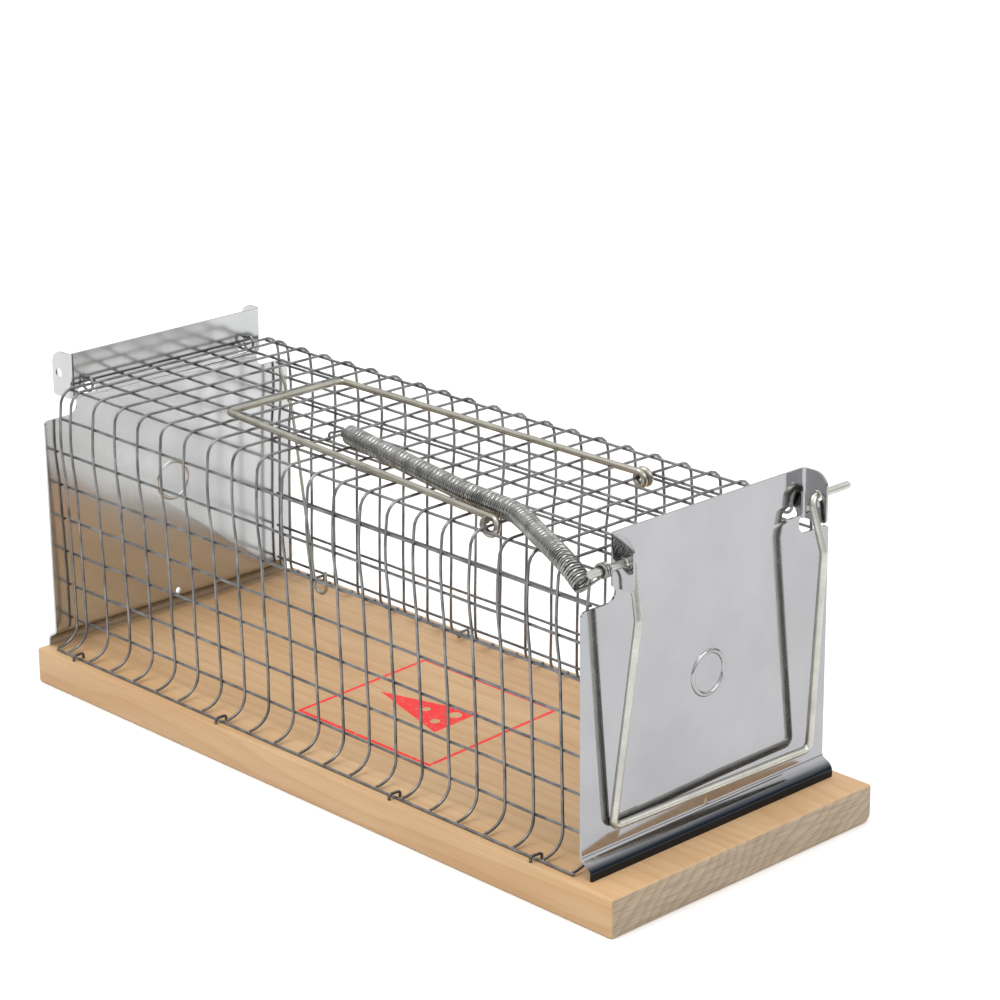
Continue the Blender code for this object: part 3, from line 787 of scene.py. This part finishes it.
def make_spring():
    """The close-wound closing spring, from its hook on the mesh to the bail's left pivot."""
    route = [Vector(place) * MM for place in SPRING_ROUTE]
    coils = helix(smooth_route(route, 6), SPRING_R, SPRING_PITCH)
    curl = 1.7 * MM
    hook_y = route[0].y + 2.2 * MM
    hook_z = CAGE_TOP + 0.2 * MM
    tail = [Vector((SPRING_HELD_X + curl * math.cos(a), hook_y, hook_z + curl * math.sin(a)))
            for a in (math.pi / 2 + i * math.pi / 8 for i in range(11))]
    tail = tail[::-1] + [Vector((SPRING_HELD_X + 5 * MM, hook_y, route[0].z - 0.6 * MM))]
    eye = spring_eye()
    run = tail + coils + [(coils[-1] + eye[0]) / 2 + Vector((0.8 * MM, 0, 0)), eye[0]]
    spring = piece("closing_spring", wire("closing_spring", [run], SPRING_WIRE_R, 2), SPRING_WIRE,
                   None, "bail_spring", "spring_rear_hook")
    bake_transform(spring)
    end = piece("spring_end_eye", wire("spring_end_eye", [eye], SPRING_WIRE_R, 2),
                SPRING_WIRE, "closing_bail", "spring_end_coil")


def spring_eye():
    """Three turns round the bail's left pivot, from below."""
    steps = 16
    run = []
    for i in range(3 * steps + 1):
        angle = math.tau * i / steps
        run.append(Vector((BAIL_X - SPRING_EYE_R * math.sin(angle),
                           SPRING_EYE_Y + SPRING_PITCH * i / steps,
                           BAIL_Z - SPRING_EYE_R * math.cos(angle))))
    return run


def frame_coil(start_y, step_y, turns, steps=20):
    """A coil round a cross wire, starting over the top and going forward and down."""
    run = []
    for i in range(round(turns * steps) + 1):
        angle = math.tau * i / steps
        run.append(Vector((FRAME_X + FRAME_COIL_R * math.sin(angle), start_y + step_y * i / steps,
                           CAGE_TOP + FRAME_COIL_R * math.cos(angle))))
    return run


def make_release_frame():
    z = CAGE_TOP + FRAME_COIL_R
    left = frame_coil(FRAME_LEFT_COIL_Y, -2.6 * MM, 1)
    right = frame_coil(FRAME_RIGHT_COIL_Y, 2.6 * MM, 1.6)
    corners = rounded([left[0], (FRAME_REAR_X, FRAME_REAR_LEFT_Y, z),
                       (FRAME_REAR_X, FRAME_REAR_RIGHT_Y, z), right[0]], 3 * MM, 8)
    run = left[::-1] + corners[1:-1] + right
    made = piece("release_frame", wire("release_frame", [run], FRAME_R, 5), FRAME_NICKEL,
                 "trigger_frame", "trigger_frame")


def make_hook():
    """A loop round the frame's rear bar, a tail above it and a long shank with a bait point."""
    bar = Vector((FRAME_REAR_X, 0, CAGE_TOP + FRAME_COIL_R))
    down = Vector((math.sin(HOOK_TILT), 0, -math.cos(HOOK_TILT)))
    ahead = Vector((math.cos(HOOK_TILT), 0, math.sin(HOOK_TILT)))
    loop = FRAME_R + HOOK_R + 0.3 * MM
    run = [bar - down * 9 * MM - ahead * (loop + 1.5 * MM), bar - down * 3 * MM - ahead * loop]
    run += [bar - ahead * loop * math.cos(a) + down * loop * math.sin(a)
            for a in (i * math.pi / 16 for i in range(5))]
    run += [bar + down * 4 * MM, bar + down * HOOK_LENGTH]
    bend = run[-1]
    run += [bend + down * 3 * MM * math.sin(a) + ahead * 3 * MM * (1 - math.cos(a))
            for a in (0.35 * i for i in range(1, 9))]
    run.append(run[-1] - down * 6 * MM + ahead * 0.6 * MM)
    hook = piece("hook_wire", wire("hook_wire", [run], HOOK_R, 4), FRAME_NICKEL, "bait_hook",
                 "bait_hook")


# --- Studio ------------------------------------------------------------------------------

def make_floor():
    bm = bmesh.new()
    bmesh.ops.create_grid(bm, x_segments=1, y_segments=1, size=6.0)
    made, _, shader = new_material("pale floor")
    shader.inputs["Base Color"].default_value = (0.9, 0.9, 0.9, 1.0)
    shader.inputs["Roughness"].default_value = 0.9
    floor = bpy.data.objects.new("floor", finished("floor", bm))
    floor.data.materials.append(made)
    bpy.context.scene.collection.objects.link(floor)


def lamp(name, place, target, size, power):
    light = bpy.data.lights.new(name, "AREA")
    light.size = size
    light.energy = power
    made = bpy.data.objects.new(name, light)
    made.location = place
    made.rotation_euler = (Vector(target) - Vector(place)).to_track_quat("-Z", "Y").to_euler()
    bpy.context.scene.collection.objects.link(made)


def make_studio():
    world = bpy.data.worlds.new("studio")
    world.use_nodes = True
    tree = world.node_tree
    where = node(tree, "ShaderNodeTexCoord").outputs["Generated"]
    up = node(tree, "ShaderNodeSeparateXYZ", {0: where})
    sky = mix_colour(tree, ramp(tree, up.outputs["Z"], 0.02, 0.42), (0.16, 0.17, 0.19, 1),
                     (1.0, 1.0, 1.0, 1))
    tree.links.new(sky, tree.nodes["Background"].inputs["Color"])
    tree.nodes["Background"].inputs["Strength"].default_value = 1.2
    bpy.context.scene.world = world
    lamp("key", (-0.1, -0.42, 1.55), (0, 0, 0.05), 0.8, 9.3)
    lamp("fill", (1.2, 0.3, 0.8), (0, 0, 0.05), 0.9, 5.0)
    bpy.context.scene.view_settings.view_transform = "Standard"


def make_camera():
    """Looks down on the trap's left side and sprung door from a little way off."""
    along = math.cos(CAMERA_PITCH)
    forward = Vector((-along * math.sin(CAMERA_YAW), along * math.cos(CAMERA_YAW),
                      -math.sin(CAMERA_PITCH)))
    level = Vector((math.cos(CAMERA_YAW), math.sin(CAMERA_YAW), 0))
    upward = level.cross(forward)
    right = level * math.cos(CAMERA_ROLL) + upward * math.sin(CAMERA_ROLL)
    upright = upward * math.cos(CAMERA_ROLL) - level * math.sin(CAMERA_ROLL)
    camera = bpy.data.objects.new("camera", bpy.data.cameras.new("camera"))
    camera.data.lens = CAMERA_LENS
    camera.data.sensor_width = CAMERA_SENSOR
    turn = Matrix((right, upright, -forward)).transposed().to_4x4()
    camera.matrix_world = Matrix.Translation(CAMERA_PLACE) @ turn
    bpy.context.scene.collection.objects.link(camera)
    bpy.context.scene.camera = camera


make_board()
make_cage()
make_staples()
make_door("front_door", "front_door", at_rear=False)
make_door("rear_door", "rear_door", at_rear=True)
make_bail()
make_spring()
make_release_frame()
make_hook()
make_floor()
make_studio()
make_camera()
